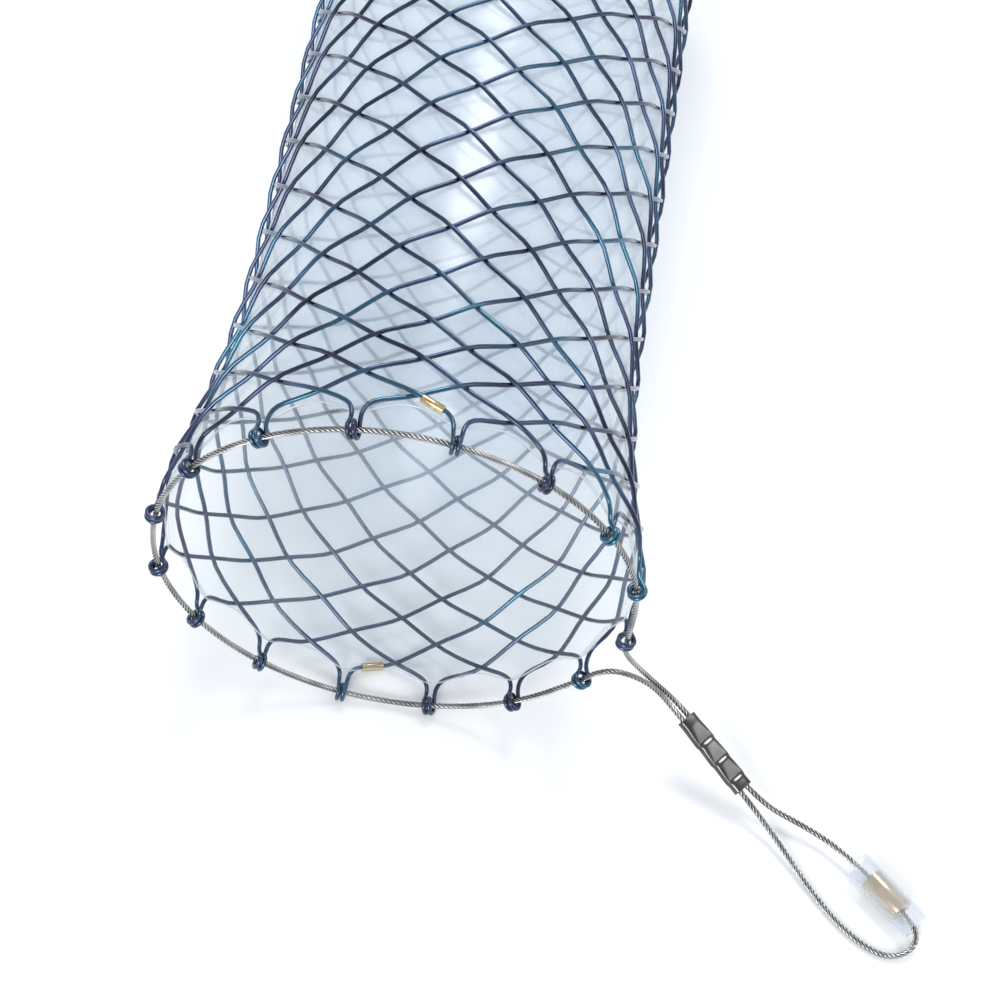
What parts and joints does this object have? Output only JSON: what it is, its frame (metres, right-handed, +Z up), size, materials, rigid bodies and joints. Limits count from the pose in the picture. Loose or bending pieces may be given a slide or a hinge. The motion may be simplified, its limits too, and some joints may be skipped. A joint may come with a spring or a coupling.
{
  "type": "esophageal stent",
  "caption": "Self-expanding braided wire tube with flared ends, a thin silicone cover, wire eyelets round the mouth and a retrieval cable loop with a crimp and a marker.",
  "frame": {"origin": "on the floor below the middle of the stent, measured without the retrieval cable and what is on it", "axes": "+Y along the stent's axis from the mouth with the eyelets to the far end, +X towards the side where the retrieval loop lies, +Z up; the stent lies on its side"},
  "size_m": [0.0391, 0.0637, 0.0232],
  "materials": {
    "wire": "drawn nickel titanium wire with a dark blue oxide",
    "silicone": "thin translucent silicone film, faintly blue",
    "gold": "bright drawn gold-coloured marker metal",
    "cable": "bright twisted fine steel strands",
    "steel": "pressed bright steel",
    "clear": "clear heat-shrink tube"
  },
  "bodies": {
    "root": {"braid_wire": "wire", "silicone_cover": "silicone", "rim_marker_tube_upper": "gold", "rim_marker_tube_lower": "gold", "retrieval_cable": "cable", "crimp_sleeve": "steel", "loop_marker_band": "gold", "loop_clear_sleeve": "clear"}
  },
  "joints": []
}
